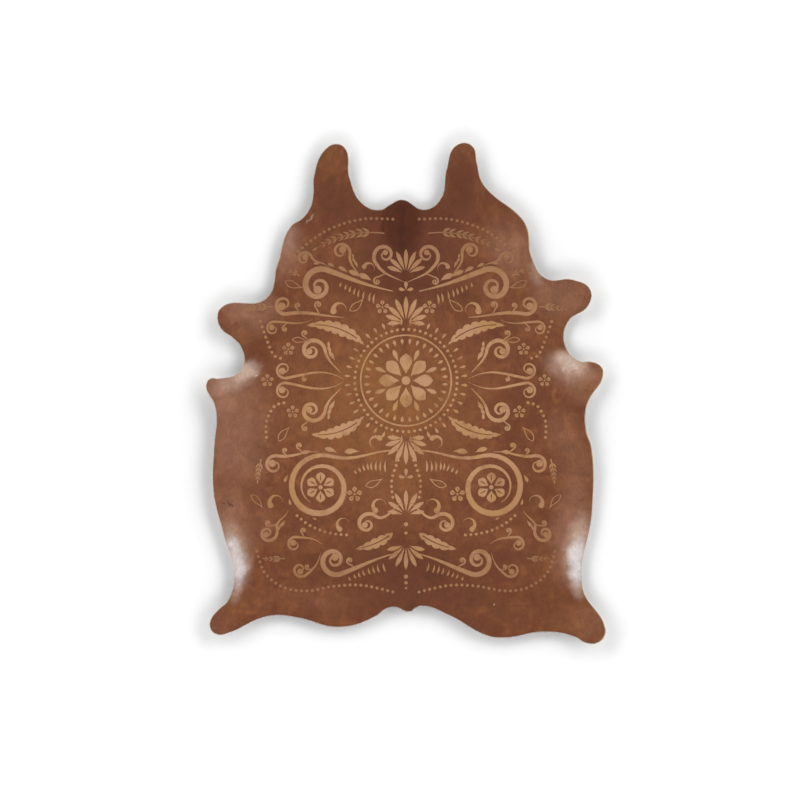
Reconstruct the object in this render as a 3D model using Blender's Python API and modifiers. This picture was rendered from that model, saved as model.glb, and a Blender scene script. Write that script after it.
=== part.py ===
"""A whole cowhide, tanned with its hair on and laid out flat as a rug, hair side up.

It is one piece of leather. Its neck points along +Y, its right flank along +X, and the
underside rests on Z = 0 with the middle of its bounding box over the origin. The body of
the hide lies flat, while its cut edge and its flaps stand some millimetres proud of the
floor, as the edge of a dried hide does.
"""

import math

import bmesh
import bpy
from mathutils import Vector

# Driving dimensions, in metres.
MILLIMETRE = 0.001
THICKNESS = 0.003  # skin and short hair together
RISE_REACH = 0.16  # how far in from its edge the hide is lifted
GRID_PITCH = 0.05  # of the faces that follow the lifted edge
STEPS_PER_SPAN = 4  # straight steps between two points of the edge
MERGE_DISTANCE = 0.0001

# The cut edge, clockwise from the neck, as points that a smooth curve passes through.
# Across grows to the hide's right and along grows towards its neck, and the rise is how
# far a straight edge would stand off the floor there; a narrow flap stands higher. All
# are in millimetres. No two flaps of a hide are alike, so both sides are given.
EDGE = (
    # stretch of the edge, its rise, its points (across, along)
    ("neck crest", 6, ((-18, 887), (87, 841))),
    ("right of the neck", 6, ((161, 890),)),
    ("right cheek flap", 11, ((189, 1028), (232, 1135), (299, 1138))),
    ("right cheek to shoulder", 9, ((327, 1051), (343, 982), (377, 932))),
    ("right shoulder", 13, ((531, 804), (558, 757), (577, 628))),
    ("right armpit", 8, ((642, 527),)),
    ("right foreleg flap", 15, ((768, 520), (846, 474), (835, 400))),
    ("right elbow hollow", 7, ((745, 329), (731, 223), (796, 148))),
    ("right belly point", 13, ((851, 145), (892, 127), (906, 94))),
    ("right flank", 12, ((832, -53), (829, -173), (851, -242))),
    ("right stifle hollow", 8, ((855, -536), (812, -895))),
    ("right hind shank", 15, ((914, -1070), (911, -1113), (879, -1144), (828, -1145))),
    ("inside the right shank", 8, ((777, -1115), (639, -1092))),
    ("right rump lobe", 10, ((446, -1119), (377, -1110), (193, -1012))),
    ("tail root", 8, ((74, -973), (46, -982), (21, -999), (-53, -978), (-92, -987))),
    ("left rump lobe", 9, ((-138, -1021), (-304, -1070), (-488, -1028))),
    ("inside the left shank", 7, ((-589, -1016), (-662, -1029))),
    ("left hind shank", 12, ((-810, -1096), (-860, -1105), (-892, -1081), (-893, -1040), (-856, -991))),
    ("left stifle hollow", 10, ((-814, -950), (-785, -830), (-833, -646))),
    ("left flank", 13, ((-879, -453), (-875, -228), (-865, -113))),
    ("left belly point", 15, ((-876, -48), (-913, 35), (-895, 67), (-856, 67))),
    ("left elbow hollow", 7, ((-764, 94), (-739, 145), (-752, 209), (-791, 255))),
    ("left foreleg flap", 13, ((-840, 292), (-861, 343), (-846, 391))),
    ("left armpit", 8, ((-637, 435), (-586, 591))),
    ("left shoulder", 10, ((-524, 766), (-476, 799), (-439, 846), (-422, 913))),
    ("left cheek flap", 9, ((-420, 991), (-363, 1122), (-313, 1142), (-278, 1122))),
    ("left of the neck", 6, ((-259, 991), (-198, 869), (-115, 840), (-74, 863))),
)

# Deep umber hair, as the eye sees the whole hide.
HAIR_COLOUR = (0.195, 0.074, 0.036, 1.0)
HAIR_ROUGHNESS = 0.6
CREASE_ANGLE = math.radians(40)


def clear_scene():
    for scene_object in list(bpy.data.objects):
        bpy.data.objects.remove(scene_object, do_unlink=True)


def new_collection(name):
    made = bpy.data.collections.new(name)
    bpy.context.scene.collection.children.link(made)
    return made


def leather_material():
    material = bpy.data.materials.new("leather")
    material.use_nodes = True
    shader = material.node_tree.nodes["Principled BSDF"]
    shader.inputs["Base Color"].default_value = HAIR_COLOUR
    shader.inputs["Roughness"].default_value = HAIR_ROUGHNESS
    shader.inputs["Metallic"].default_value = 0.0
    return material


def edge_knots():
    """Each point of the cut edge with its rise, in metres."""
    for _, rise, points in EDGE:
        for across, along in points:
            yield Vector((across, along)) * MILLIMETRE, rise * MILLIMETRE


def edge_curve(cutters):
    """The cut edge as a flat, filled curve, tall enough to cut the slab right through."""
    curve = bpy.data.curves.new("edge", "CURVE")
    curve.dimensions = "2D"
    curve.fill_mode = "BOTH"
    curve.extrude = 4 * THICKNESS
    curve.resolution_u = STEPS_PER_SPAN
    knots = list(edge_knots())
    spline = curve.splines.new("BEZIER")
    spline.bezier_points.add(len(knots) - 1)
    spline.use_cyclic_u = True
    for bezier_point, (place, _) in zip(spline.bezier_points, knots, strict=True):
        bezier_point.co = place.to_3d()
        bezier_point.handle_left_type = bezier_point.handle_right_type = "AUTO"
    outline = bpy.data.objects.new("edge", curve)
    cutters.objects.link(outline)
    return outline


def centred_cutter(outline, cutters):
    """The same solid as a closed mesh whose box is centred, and that box's size and middle."""
    evaluated = outline.evaluated_get(bpy.context.evaluated_depsgraph_get())
    mesh = bpy.data.meshes.new_from_object(evaluated)
    mesh.transform(outline.matrix_world)
    bpy.data.objects.remove(outline)
    solid = bmesh.new()
    solid.from_mesh(mesh)
    bmesh.ops.remove_doubles(solid, verts=solid.verts, dist=MERGE_DISTANCE)
    low = Vector(min(vertex.co[axis] for vertex in solid.verts) for axis in range(3))
    high = Vector(max(vertex.co[axis] for vertex in solid.verts) for axis in range(3))
    middle = (low + high) / 2
    bmesh.ops.translate(solid, verts=solid.verts, vec=-middle)
    solid.to_mesh(mesh)
    solid.free()
    cutter = bpy.data.objects.new("edge_cutter", mesh)
    cutters.objects.link(cutter)
    cutter.hide_render = True
    cutter.display_type = "WIRE"
    return cutter, high - low, middle


def slab(size, parts):
    """A plate of even faces, a little larger than the hide, that the hide is cut from."""
    columns, rows = (2 * math.ceil(size[axis] / 2 / GRID_PITCH) + 1 for axis in (0, 1))
    bpy.ops.mesh.primitive_grid_add(x_subdivisions=columns, y_subdivisions=rows, size=1)
    plate = bpy.context.active_object
    plate.name = plate.data.name = "hide"
    plate.scale = (columns * GRID_PITCH, rows * GRID_PITCH, 1)
    bpy.ops.object.transform_apply(scale=True)
    for holder in list(plate.users_collection):
        holder.objects.unlink(plate)
    parts.objects.link(plate)
    skin = plate.modifiers.new("thickness", "SOLIDIFY")
    skin.thickness = THICKNESS
    skin.offset = 1.0
    return plate


def lift_at(place, edge):
    """How far the hide stands off the floor at a place.

    Each short piece of the edge lifts the hide around it, less and less out to the reach,
    so that a straight edge stands at its own rise and a tip, with edge all round, higher.
    """
    along_straight_edge = RISE_REACH * 16 / 15
    lifted = 0.0
    for middle, length, rise in edge:
        share = (place - middle).length / RISE_REACH
        if share < 1:
            lifted += rise * (1 - share**2) ** 2 * length / along_straight_edge
    return lifted


def edge_pieces(middle_of_box):
    """Middle, length and rise of each straight piece between two points of the edge."""
    knots = [(place - middle_of_box.to_2d(), rise) for place, rise in edge_knots()]
    pieces = []
    for (start, start_rise), (end, end_rise) in zip(knots, knots[1:] + knots[:1], strict=True):
        for step in range(STEPS_PER_SPAN):
            share = (step + 0.5) / STEPS_PER_SPAN
            length = (end - start).length / STEPS_PER_SPAN
            pieces.append((start.lerp(end, share), length, start_rise + (end_rise - start_rise) * share))
    return pieces


def cut_and_lay(plate, cutter, edge):
    """Cuts the plate to the hide's edge, then lays it down with that edge lifted."""
    cut = plate.modifiers.new("cut", "BOOLEAN")
    cut.operation = "INTERSECT"
    cut.object = cutter
    bpy.context.view_layer.objects.active = plate
    for modifier in list(plate.modifiers):
        bpy.ops.object.modifier_apply(modifier=modifier.name)
    hide = bmesh.new()
    hide.from_mesh(plate.data)
    bmesh.ops.remove_doubles(hide, verts=hide.verts, dist=MERGE_DISTANCE)
    bmesh.ops.triangulate(hide, faces=hide.faces)
    for vertex in hide.verts:
        vertex.co.z += lift_at(vertex.co.to_2d(), edge)
    hide.to_mesh(plate.data)
    hide.free()


def main():
    clear_scene()
    parts = new_collection("cowhide_rug")
    cutters = new_collection("cutters")
    cutter, size, middle = centred_cutter(edge_curve(cutters), cutters)
    hide = slab(size, parts)
    cut_and_lay(hide, cutter, edge_pieces(middle))
    hide.data.materials.clear()
    hide.data.materials.append(leather_material())
    hide.data.shade_smooth()
    hide.data.set_sharp_from_angle(angle=CREASE_ANGLE)


main()
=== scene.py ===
"""A hair-on cowhide rug, laid flat with its hair up and an ornament etched through the hair.

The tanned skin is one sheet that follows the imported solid. The short hair lies on it as a coat
of its own, cut away where the ornament shows the bare, singed leather underneath, and fine hairs
lean over every edge of the coat. The neck points along +Y and the floor is at Z = 0.
"""

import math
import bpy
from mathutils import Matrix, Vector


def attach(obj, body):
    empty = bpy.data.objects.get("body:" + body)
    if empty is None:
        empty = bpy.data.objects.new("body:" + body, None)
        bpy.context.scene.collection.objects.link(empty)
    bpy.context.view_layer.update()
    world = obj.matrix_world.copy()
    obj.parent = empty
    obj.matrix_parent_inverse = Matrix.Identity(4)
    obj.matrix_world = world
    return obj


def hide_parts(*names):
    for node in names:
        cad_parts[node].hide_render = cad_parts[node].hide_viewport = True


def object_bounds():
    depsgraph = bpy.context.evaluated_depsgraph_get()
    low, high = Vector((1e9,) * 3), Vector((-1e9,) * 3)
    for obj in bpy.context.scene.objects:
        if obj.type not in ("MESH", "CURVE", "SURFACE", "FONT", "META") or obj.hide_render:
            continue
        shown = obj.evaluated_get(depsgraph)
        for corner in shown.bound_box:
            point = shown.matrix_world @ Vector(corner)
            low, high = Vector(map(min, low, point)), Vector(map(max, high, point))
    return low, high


bl_info = {
    "name": "Etched Cowhide Rug",
    "version": (1, 0, 0),
    "blender": (4, 5, 0),
    "location": "3D View > Sidebar > Cowhide",
    "description": "Lays a hair-on cowhide with an etched ornament and lights it from above",
    "category": "Object",
}

import bpy
import numpy as np
from mathutils import Vector, noise
from mathutils.geometry import delaunay_2d_cdt

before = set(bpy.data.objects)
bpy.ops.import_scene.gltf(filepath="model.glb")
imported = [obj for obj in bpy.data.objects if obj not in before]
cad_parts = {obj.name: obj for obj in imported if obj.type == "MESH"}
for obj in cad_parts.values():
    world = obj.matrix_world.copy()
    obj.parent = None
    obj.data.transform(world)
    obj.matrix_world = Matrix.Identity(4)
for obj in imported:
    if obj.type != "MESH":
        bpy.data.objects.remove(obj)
CAD_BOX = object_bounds()

# ---------------------------------------------------------------------------
# Shape of the hide, in millimetres unless it says otherwise
# ---------------------------------------------------------------------------

MILLIMETRE = 0.001
RISE_REACH = 0.16  # metres in from its edge that the hide is lifted
RISE_STEPS = 4  # straight pieces of edge between two points that lift it
EDGE_STEPS = 12  # straight steps of the drawn edge between two points
LOOSE_MARGIN = 0.008  # metres that the inner points keep from the edge
ROW_PITCH = 0.866  # of the inner points' pitch, so that three neighbours stand equally far apart
MERGE = 1e-6  # metres
CREASE = math.radians(40)  # faces that meet more sharply than this aren't shaded as one

# The low waves that the hide dried with: share of the relief, scale across and along, seed.
WAVES = (
    (0.75, 6.0, 3.6, 0.4),
    (0.25, 17.0, 11.0, 5.2),
)

# The cut edge, clockwise from the neck, as points that a smooth curve passes through.
# Across grows to the hide's right, along towards its neck. The rise is how far a straight
# edge stands off the floor, and bare is the width of pale leather outside the hair.
EDGE = (
    # stretch of the edge, rise, bare, points (across, along)
    ("neck crest", 6, 1.0, ((-18, 887), (87, 841))),
    ("right of the neck", 6, 1.0, ((161, 890),)),
    ("right cheek flap", 11, 1.5, ((189, 1028), (232, 1135), (299, 1138))),
    ("right cheek to shoulder", 9, 2.2, ((327, 1051), (343, 982), (377, 932))),
    ("right shoulder", 13, 4.0, ((531, 804), (558, 757), (577, 628))),
    ("right armpit", 8, 2.5, ((642, 527),)),
    ("right foreleg flap", 15, 2.0, ((768, 520), (846, 474), (835, 400))),
    ("right elbow hollow", 7, 3.2, ((745, 329), (731, 223), (796, 148))),
    ("right belly point", 13, 3.0, ((851, 145), (892, 127), (906, 94))),
    ("right flank", 12, 3.8, ((832, -53), (829, -173), (851, -242))),
    ("right stifle hollow", 8, 2.2, ((855, -536), (812, -895))),
    ("right hind shank", 15, 4.0, ((914, -1070), (911, -1113), (879, -1144), (828, -1145))),
    ("inside the right shank", 8, 1.0, ((777, -1115), (639, -1092))),
    ("right rump lobe", 10, 1.0, ((446, -1119), (377, -1110), (193, -1012))),
    ("tail root", 8, 1.0, ((74, -973), (46, -982), (21, -999), (-53, -978), (-92, -987))),
    ("left rump lobe", 9, 1.0, ((-138, -1021), (-304, -1070), (-488, -1028))),
    ("inside the left shank", 7, 1.0, ((-589, -1016), (-662, -1029))),
    ("left hind shank", 12, 1.2, ((-810, -1096), (-860, -1105), (-892, -1081), (-893, -1040), (-856, -991))),
    ("left stifle hollow", 10, 1.5, ((-814, -950), (-785, -830), (-833, -646))),
    ("left flank", 13, 1.2, ((-879, -453), (-875, -228), (-865, -113))),
    ("left belly point", 15, 1.5, ((-876, -48), (-913, 35), (-895, 67), (-856, 67))),
    ("left elbow hollow", 7, 1.5, ((-764, 94), (-739, 145), (-752, 209), (-791, 255))),
    ("left foreleg flap", 13, 1.2, ((-840, 292), (-861, 343), (-846, 391))),
    ("left armpit", 8, 1.0, ((-637, 435), (-586, 591))),
    ("left shoulder", 10, 1.5, ((-524, 766), (-476, 799), (-439, 846), (-422, 913))),
    ("left cheek flap", 9, 1.2, ((-420, 991), (-363, 1122), (-313, 1142), (-278, 1122))),
    ("left of the neck", 6, 1.0, ((-259, 991), (-198, 869), (-115, 840), (-74, 863))),
)

# The hair lies as if combed from a point beyond the neck, towards the tail and the flanks.
COMBED_FROM = 2.6  # metres along +Y
COMBED_TRUE = 2.2  # metres from that point at which strands are drawn at their true width

# Single hairs: where their roots lie, how strongly they are combed and how much they stray.
WIDEST_HAIRY = 0.0045  # metres of bare leather at the edge, from which no hair leans over it
EDGE_ROOTS = (0.001, 0.005)  # metres in from the line where the coat ends
EDGE_HEIGHTS = (0.3, 0.9)  # of the coat's depth
EDGE_COMBED = 0.75  # how far they follow the coat, against straight out
EDGE_STRAY = 0.22
EDGE_TILT = (-0.06, 0.07)  # how steeply they point up: on average, and give or take
EDGE_LENGTHS = (0.55, 1.15)  # of the length that is set
RIM_ROOTS = (0.2, 0.75)  # of a hair's length, back from the rim of the ornament
RIM_HEIGHT = 0.95  # of the coat's depth
RIM_STRAY = 0.2
RIM_TILT = (0.0, 0.04)  # as at the edge
RIM_LENGTHS = (0.6, 1.2)
HAIR_DEPTH = 0.6  # of its width, at its root

# ---------------------------------------------------------------------------
# The ornament, right half, in millimetres and degrees; 0 faces the right flank, 90 the neck
# ---------------------------------------------------------------------------

SCROLLS = (
    # start across, along, heading, eye across, along, radius, entry, turns, inner, width, bulb,
    # drops, and its branches: share along, side, reach, radius
    (8, 512, 25, 96, 636, 56, -30, 1.35, 0.2, 18, 13, 0, ((0.2, -1, 56, 19),)),
    (60, 470, 12, 400, 492, 84, 110, -1.5, 0.2, 28, 19, 5, ()),
    (205, 528, 62, 300, 652, 44, 190, -1.15, 0.3, 15, 17, 3, ()),
    (350, 574, 60, 468, 618, 36, 160, -1.1, 0.3, 13, 14, 0, ()),
    (285, 350, 2, 560, 410, 46, -100, 1.15, 0.3, 18, 18, 0, ((0.22, 1, 46, 18), (0.42, 1, 34, 14))),
    (430, 340, -25, 610, 296, 34, 90, -1.1, 0.3, 11, 13, 0, ((0.34, -1, 30, 13),)),
    (300, 96, 48, 432, 196, 60, 170, -1.5, 0.2, 20, 15, 3, ((0.5, 1, 42, 16),)),
    (300, 24, -48, 432, -76, 60, 190, 1.5, 0.2, 20, 15, 3, ((0.5, -1, 42, 16),)),
    (286, 66, 30, 560, 112, 42, -100, 1.15, 0.3, 13, 16, 0, ((0.4, -1, 22, 10),)),
    (286, 54, -30, 560, 8, 42, 100, -1.15, 0.3, 13, 16, 0, ()),
    (16, -262, 5, 392, -430, 150, 105, -1.45, 0.55, 28, 0, 6, ()),
    (400, -268, 5, 604, -330, 46, 100, -1.15, 0.3, 16, 17, 0, ((0.16, 1, 38, 15), (0.36, 1, 28, 12))),
    (20, -500, -35, 178, -600, 54, 130, -1.4, 0.2, 18, 14, 0, ()),
    (540, -536, -70, 636, -640, 48, 160, 1.4, 0.2, 16, 13, 2, ((0.24, 1, 40, 15),)),
    (40, -730, -15, 330, -764, 70, -110, 1.6, 0.2, 24, 17, 0, ((0.3, 1, 44, 17),)),
    (392, -730, -80, 486, -806, 38, -130, 1.1, 0.3, 13, 14, 0, ((0.3, 1, 24, 12),)),
    (385, -692, 40, 512, -694, 36, 95, -1.1, 0.3, 13, 14, 0, ((0.3, 1, 32, 14),)),
)
CURLS = (
    # across, along, heading, length, bend, head: a line that swells to a round head
    (276, 374, 112, 112, -215, 15),
    (146, -250, 16, 96, 205, 13),
    (92, -508, 78, 112, -215, 14),
    (262, -590, 70, 104, -215, 13),
    (566, -500, 95, 112, -215, 14),
    (150, 560, 128, 84, -200, 11),
)
LOOPS = (
    # across, along, heading, length, width, bend: a teardrop's outline as a thin line
    (192, 440, -54, 92, 36, 25),
    (470, 486, 8, 92, 34, 25),
    (530, -150, -40, 90, 34, -25),
    (104, -388, -36, 92, 34, 25),
    (446, 236, 20, 80, 28, -25),
    (656, -530, 62, 88, 30, -25),
)
COMBS = (
    # a row of leaning strokes: its places, number, lean, first and last length
    ((140, 464), (210, 482), (296, 512), 8, -75, 56, 26),
    ((90, -300), (176, -312), (236, -346), 8, -60, 64, 26),
    ((104, -772), (180, -798), (262, -838), 8, -65, 50, 22),
)
SPRIGS = (
    # across, along, heading, length, bend, pairs of leaves, size of the first pair
    (100, 735, 8, 320, -40, 8, 44),
    (488, 540, 34, 76, -20, 3, 28),
    (612, 398, 2, 110, -14, 4, 36),
    (556, -756, -6, 84, 10, 4, 30),
    (664, -300, -74, 96, -12, 4, 32),
)
LEAVES = (
    # across, along, heading, length, width, bend, lobes
    (205, 236, 42, 270, 62, -50, 7),
    (205, -116, -42, 250, 62, 50, 7),
    (60, -640, -38, 190, 50, 30, 5),
)
FLOWERS = (
    # across, along, radius, petals
    (392, -430, 70, 6),
    (540, 204, 30, 5),
    (520, -84, 30, 5),
    (636, 60, 30, 5),
    (108, 396, 32, 5),
    (236, -462, 36, 5),
)
STRINGS = (
    # a string of beads runs smoothly through each row of places
    ((60, 800), (200, 800), (340, 760), (450, 690), (520, 625)),
    ((668, 330), (640, 250), (606, 176), (560, 160)),
    ((560, -42), (606, -60), (640, -130), (640, -210)),
    ((60, -910), (200, -880), (330, -884), (450, -905), (560, -890), (650, -820), (690, -700)),
    ((36, -306), (66, -400), (60, -480)),
    ((500, -560), (440, -606), (350, -640), (250, -650)),
)
PALMETTES = (
    # along the spine, heading, size, rays, spread
    (318, 90, 130, 9, 160),
    (-198, -90, 130, 9, 160),
    (545, 90, 120, 7, 120),
    (-560, 90, 120, 7, 140),
    (-690, -90, 120, 7, 130),
)
SPINE_BEADS = ((-600, 10), (-640, 8), (-840, 10), (-868, 8), (-892, 6))  # along the spine, radius
TREFOILS = (474, -386)  # along the spine
TREFOIL_SIZE = 44
MEDALLION = (0, 60)  # across, along
LINE_STEP = 7.0  # millimetres between two points of a drawn line
TURN_STEP = 14.0  # degrees that a line turns at most between two of them
ARCH_PULL = 0.42  # of its span, how far a stem runs straight on before it bends to its eye


# ---------------------------------------------------------------------------
# What a user may change
# ---------------------------------------------------------------------------


def length(name, description, millimetres):
    metres = millimetres * MILLIMETRE
    return bpy.props.FloatProperty(
        name=name, description=description, default=metres, min=0.0, unit="LENGTH", precision=4
    )


def count(name, description, default):
    return bpy.props.IntProperty(name=name, description=description, default=default, min=0)


def share(name, description, default, highest=1.0):
    return bpy.props.FloatProperty(
        name=name, description=description, default=default, min=0.0, max=highest, subtype="FACTOR"
    )


def colour(name, description, *tones):
    """A colour whose tones are given as the eye counts them, from 0 to 255."""
    linear = tuple(((tone / 255 + 0.055) / 1.055) ** 2.4 for tone in tones)
    return bpy.props.FloatVectorProperty(
        name=name, description=description, default=linear, size=3, min=0.0, max=1.0, subtype="COLOR"
    )


class HideSizes(bpy.types.PropertyGroup):
    skin: length("Skin", "Thickness of the tanned skin", 2.0)
    coat: length("Coat", "Depth of the flat-lying hair", 1.0)
    roots: length("Roots", "How deep the coat's underside sits in the skin", 0.3)
    pitch: length("Pitch", "Distance between the inner points of the sheet", 20.0)
    relief: length("Relief", "Height of the low waves that the hide dried with", 0.6)


class HairSizes(bpy.types.PropertyGroup):
    edge_hairs: count("Edge Hairs", "Hairs tried along the cut edge; fewer grow where it is bare", 16000)
    edge_length: length("Edge Length", "Length of a hair at the cut edge", 10.0)
    rim_hairs: count("Rim Hairs", "Hairs that lean over the rims of the ornament", 24000)
    rim_length: length("Rim Length", "Length of a hair at a rim of the ornament", 5.0)
    width: length("Width", "Width of a hair at its root", 0.6)


class OrnamentSizes(bpy.types.PropertyGroup):
    bead_radius: length("Bead Radius", "Radius of a bead in the strings", 7.5)
    bead_pitch: length("Bead Pitch", "Distance between two beads of a string", 25.0)
    medallion: length("Medallion", "Radius of the ring round the middle flower", 208.0)
    ring: length("Ring", "Width of that ring", 8.0)


class HideColours(bpy.types.PropertyGroup):
    coat: colour("Coat", "Hair over most of the hide", 130, 78, 49)
    ruddy: colour("Ruddy", "Redder, deeper hair", 104, 57, 37)
    dark: colour("Dark", "Nearly black-red hair along the neck and spine", 66, 25, 9)
    gold: colour("Gold", "Warmer hair on the back", 143, 91, 53)
    # Pale is paler, rosy hair, and also painted sheen where the hair at shoulders, forelegs, sides and belly
    # catches the light.
    pale: colour("Pale", "Thin, rosy hair at shoulders and flanks", 157, 110, 87)
    cream: colour("Cream", "Pale hair round the white patches", 206, 176, 157)
    white: colour("White", "White hair in the flank and armpit patches", 223, 215, 217)
    etched: colour("Etched", "Leather singed bare of hair", 195, 147, 107)
    tan: colour("Tan", "Yellower leather in parts of the ornament", 189, 141, 90)
    stubble: colour("Stubble", "Etched leather where stubble is left", 146, 98, 66)
    cut: colour("Cut Edge", "Leather of the cut edge", 205, 184, 158)
    flesh: colour("Flesh Side", "Suede of the underside", 176, 158, 136)


class StudioSettings(bpy.types.PropertyGroup):
    floor: colour("Floor", "Paint of the floor", 248, 248, 248)
    floor_light: share("Floor Light", "Brightness of the low lamps on the floor", 1.0, 4.0)
    hide_light: share("Hide Light", "Brightness of the high lamps on the hide", 1.0, 4.0)
    sky: share("Sky", "Brightness of the even light all round", 0.02, 4.0)
    horizon: share("Horizon", "Brightness of the band of light round the horizon", 0.98, 4.0)
    lens: bpy.props.FloatProperty(
        name="Lens", description="Focal length of the camera", default=85.0, min=10.0, unit="CAMERA"
    )
    view: length("View", "Width of floor that the camera sees", 3672.0)
    aim: bpy.props.FloatVectorProperty(
        name="Aim",
        description="Place on the floor under the camera",
        default=(-0.0275, -0.0298),
        size=2,
        unit="LENGTH",
    )


# ---------------------------------------------------------------------------
# Drawing the ornament: a line is a list of points and the heading at each
# ---------------------------------------------------------------------------


def with_headings(points):
    """The same points, and which way the line runs at each, in radians."""
    headings = []
    for before, after in zip([points[0], *points[:-1]], [*points[1:], points[-1]], strict=True):
        headings.append(math.atan2(after[1] - before[1], after[0] - before[0]))
    return points, headings


def arc(x, y, heading, length, bend=0.0, step=LINE_STEP):
    """A line from (x, y) that turns evenly by bend degrees."""
    steps = max(3, math.ceil(length / step), math.ceil(abs(bend) / TURN_STEP))
    points = [(x, y)]
    for step_number in range(steps):
        way = math.radians(heading + bend * (step_number + 0.5) / steps)
        last_x, last_y = points[-1]
        points.append((last_x + length / steps * math.cos(way), last_y + length / steps * math.sin(way)))
    return with_headings(points)


def smoothly_between(before, start, end, after, t):
    """The point that is t of the way from start to end on a smooth line through all four."""
    point = []
    for a, b, c, d in zip(before, start, end, after):
        bend = 2 * a - 5 * b + 4 * c - d
        twist = 3 * b - a - 3 * c + d
        point.append(b + 0.5 * t * ((c - a) + t * (bend + t * twist)))
    return tuple(point)


def line_through(places):
    """A smooth line through places."""
    padded = [places[0], *places, places[-1]]
    points = []
    for before, start, end, after in zip(padded, padded[1:], padded[2:], padded[3:]):
        steps = max(2, math.ceil(math.dist(start, end) / LINE_STEP))
        for step_number in range(steps):
            points.append(smoothly_between(before, start, end, after, step_number / steps))
    points.append(places[-1])
    return with_headings(points)


def on_arch(corners, t):
    """The point at t, from 0 to 1, on the Bezier curve with those four corners."""
    weights = ((1 - t) ** 3, 3 * (1 - t) ** 2 * t, 3 * (1 - t) * t**2, t**3)
    return tuple(sum(weight * corner[axis] for weight, corner in zip(weights, corners)) for axis in (0, 1))


def scroll_line(start, heading, eye, radius, entry, turns, inner):
    """A line that leaves start and winds up round the eye, from radius down to its inner share."""
    way = math.copysign(1, turns)
    entry_angle = math.radians(entry)
    meets = (eye[0] + radius * math.cos(entry_angle), eye[1] + radius * math.sin(entry_angle))
    tangent = (-math.sin(entry_angle) * way, math.cos(entry_angle) * way)
    span = math.dist(start, meets)
    pull = ARCH_PULL * span
    leaves = math.radians(heading)
    leaving = (start[0] + math.cos(leaves) * pull, start[1] + math.sin(leaves) * pull)
    arriving = (meets[0] - tangent[0] * pull, meets[1] - tangent[1] * pull)
    corners = (start, leaving, arriving, meets)
    steps = max(4, math.ceil(span * 1.15 / LINE_STEP))
    points = [on_arch(corners, step_number / steps) for step_number in range(steps)]
    whole_turn = abs(turns) * 360
    steps = math.ceil(whole_turn / TURN_STEP)
    for step_number in range(steps + 1):
        wound = step_number / steps
        reach = radius * inner**wound
        angle = entry_angle + way * math.radians(whole_turn * wound)
        points.append((eye[0] + reach * math.cos(angle), eye[1] + reach * math.sin(angle)))
    return with_headings(points)


def shares_along(line):
    """How far along the line each of its points is, from 0 to 1."""
    travelled = [0.0]
    for start, end in zip(line[0], line[0][1:]):
        travelled.append(travelled[-1] + math.dist(start, end))
    return [distance / travelled[-1] for distance in travelled]


def place_on(line, wanted):
    """The point that is the wanted share along the line, and its heading in degrees."""
    shares = shares_along(line)
    nearest = min(range(len(shares)), key=lambda number: abs(shares[number] - wanted))
    return *line[0][nearest], math.degrees(line[1][nearest])


def beside(x, y, heading, sideways):
    """The point so far to the left of (x, y) when facing heading."""
    way = math.radians(heading)
    return x - math.sin(way) * sideways, y + math.cos(way) * sideways


def stroke(line, widths):
    """The closed shape that a pen of those widths leaves along the line."""
    left, right = [], []
    for (x, y), heading, width in zip(*line, widths, strict=True):
        left.append((x - math.sin(heading) * width / 2, y + math.cos(heading) * width / 2))
        right.append((x + math.sin(heading) * width / 2, y - math.cos(heading) * width / 2))
    return left + right[::-1]


def pointed(line, profile):
    """A stroke that starts and ends in a point; profile gives its width at a share along it."""
    widths = [profile(along) if 0 < along < 1 else 0.0 for along in shares_along(line)]
    shape = stroke(line, widths)
    half = len(shape) // 2
    return shape[:half] + shape[half + 1 : -1]


def swelling(line, width, start=0.2, end=0.3, fullest=0.55):
    """Widths that grow from a share of the full one and shrink again."""
    widths = []
    for along in shares_along(line):
        if along < fullest:
            full = start + (1 - start) * math.sin(along / fullest * math.pi / 2) ** 1.3
        else:
            full = end + (1 - end) * math.cos((along - fullest) / (1 - fullest) * math.pi / 2)
        widths.append(width * full)
    return widths


def disc(x, y, radius, sides=9):
    angles = [2 * math.pi * side / sides for side in range(sides)]
    return [(x + radius * math.cos(angle), y + radius * math.sin(angle)) for angle in angles]


def teardrop(along):
    """A teardrop's width, as a share of its full width, that far along it."""
    return math.sin(math.pi * along**1.55) ** 0.85 if 0 < along < 1 else 0.0


def drop(x, y, heading, length, width, bend=0.0):
    """A teardrop with its point at (x, y)."""
    line = arc(x, y, heading, length, bend, min(LINE_STEP, length / 7))
    return pointed(line, lambda along: width * teardrop(along))


def leaf(x, y, heading, length, width, bend=0.0):
    line = arc(x, y, heading, length, bend, min(LINE_STEP, length / 7))
    return pointed(line, lambda along: width * math.sin(math.pi * along**0.75) ** 0.9)


def lobed_leaf(x, y, heading, length, width, bend, lobes):
    """A leaf with a lobed outline, and the vein of hair left down its middle."""
    line = arc(x, y, heading, length, bend, length / (7 * lobes))
    outline = pointed(
        line,
        lambda along: width
        * math.sin(math.pi * along**0.8) ** 0.8
        * (0.66 + 0.34 * abs(math.sin(lobes * math.pi * along)) ** 0.7),
    )
    first, last = len(line[0]) // 9, int(len(line[0]) * 0.86)
    middle = line[0][first:last], line[1][first:last]
    vein = stroke(middle, [4.5 * (1 - 0.5 * along) for along in shares_along(middle)])
    return outline, vein


def beads(line, pitch, radius):
    """Round beads at an even pitch along the line."""
    points = line[0]
    shapes, travelled, due = [], 0.0, 0.0
    for start, end in zip(points, points[1:]):
        step = math.dist(start, end)
        while due <= travelled + step:
            part = (due - travelled) / step
            x = start[0] + (end[0] - start[0]) * part
            y = start[1] + (end[1] - start[1]) * part
            shapes.append(disc(x, y, radius))
            due += pitch
        travelled += step
    return shapes


def curl(x, y, heading, length, bend, head):
    """A line that swells from a point to a round head."""
    line = arc(x, y, heading, length, bend)
    widths = [1.5 + 1.6 * head * along**1.6 for along in shares_along(line)]
    return [stroke(line, widths), disc(*line[0][-1], head, 18)]


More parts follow.
